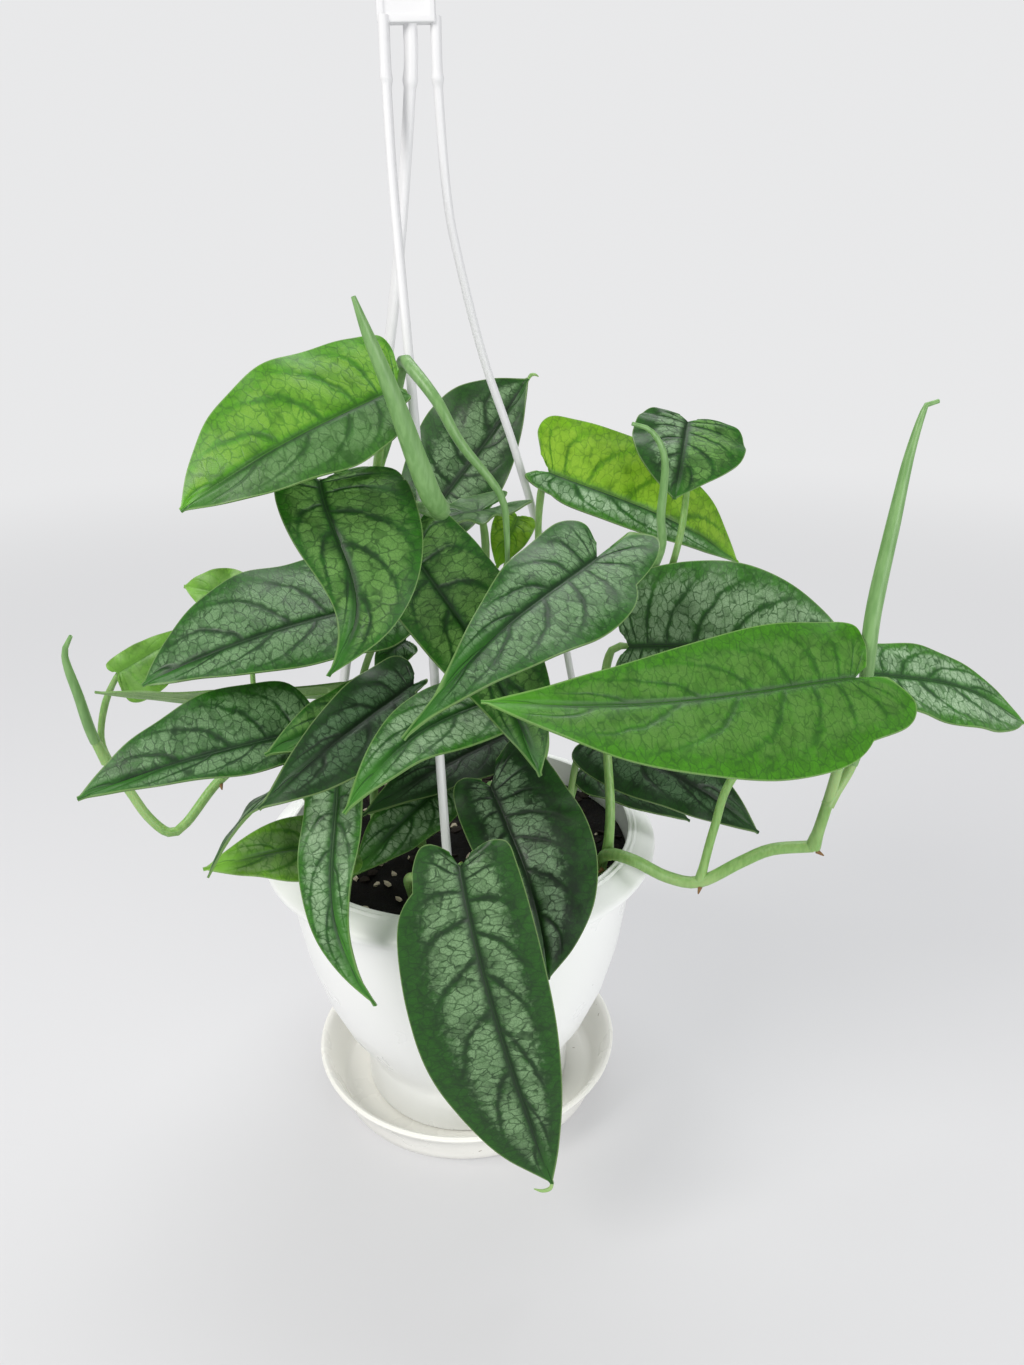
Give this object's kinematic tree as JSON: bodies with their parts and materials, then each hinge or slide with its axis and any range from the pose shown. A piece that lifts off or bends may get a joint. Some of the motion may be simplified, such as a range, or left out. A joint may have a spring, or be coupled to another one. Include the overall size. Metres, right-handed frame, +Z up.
{
  "type": "potted monstera",
  "caption": "Silver-leaved climbing monstera growing in a white hanging pot with a clip-on saucer and an arm hanger, standing on its saucer.",
  "frame": {"origin": "centre of the saucer's underside, on the surface that it stands on", "axes": "+Z up along the pot's axis, +X to the right and +Y away from the plant's front"},
  "size_m": [0.3556, 0.1885, 0.4626],
  "materials": {
    "white_plastic": "smooth white, soft gloss",
    "saucer_plastic": "smooth cream white, soft gloss",
    "potting_soil": "loose near-black bark mix with pale perlite grains",
    "stalk_green": "smooth pale apple green, faintly waxy",
    "blade_green": "satin green with silver between darker veins"
  },
  "bodies": {
    "root": {"hanger": "white_plastic", "leaf_back_upright": "blade_green", "leaf_backlit_small": "blade_green", "leaf_centre_green": "blade_green", "leaf_centre_silver": "blade_green", "leaf_curled_edge_on": "blade_green", "leaf_far_right": "blade_green", "leaf_front_hanging": "blade_green", "leaf_front_right_large": "blade_green", "leaf_gap_small": "blade_green", "leaf_left_bud_leaf": "blade_green", "leaf_left_dark": "blade_green", "leaf_left_edge_on": "blade_green", "leaf_left_hanging": "blade_green", "leaf_left_silver": "blade_green", "leaf_left_tip": "blade_green", "leaf_low_left_bright": "blade_green", "leaf_low_left_edge_on": "blade_green", "leaf_low_right_dark": "blade_green", "leaf_low_right_small": "blade_green", "leaf_middle_dark": "blade_green", "leaf_middle_green": "blade_green", "leaf_middle_small": "blade_green", "leaf_over_rim_dark": "blade_green", "leaf_over_soil": "blade_green", "leaf_right_arched": "blade_green", "leaf_right_lime": "blade_green", "leaf_right_silver": "blade_green", "leaf_top_left": "blade_green", "leaf_under_middle": "blade_green", "leaf_upper_left": "blade_green", "pot": "white_plastic", "saucer": "saucer_plastic", "soil": "potting_soil", "vine_centre": "stalk_green", "vine_front": "stalk_green", "vine_front_hanging": "stalk_green", "vine_left": "stalk_green", "vine_left_dark": "stalk_green", "vine_left_silver": "stalk_green", "vine_low_right": "stalk_green", "vine_middle": "stalk_green", "vine_middle_right": "stalk_green", "vine_right": "stalk_green", "vine_upper_left": "stalk_green", "vine_upper_right": "stalk_green"}
  },
  "joints": []
}
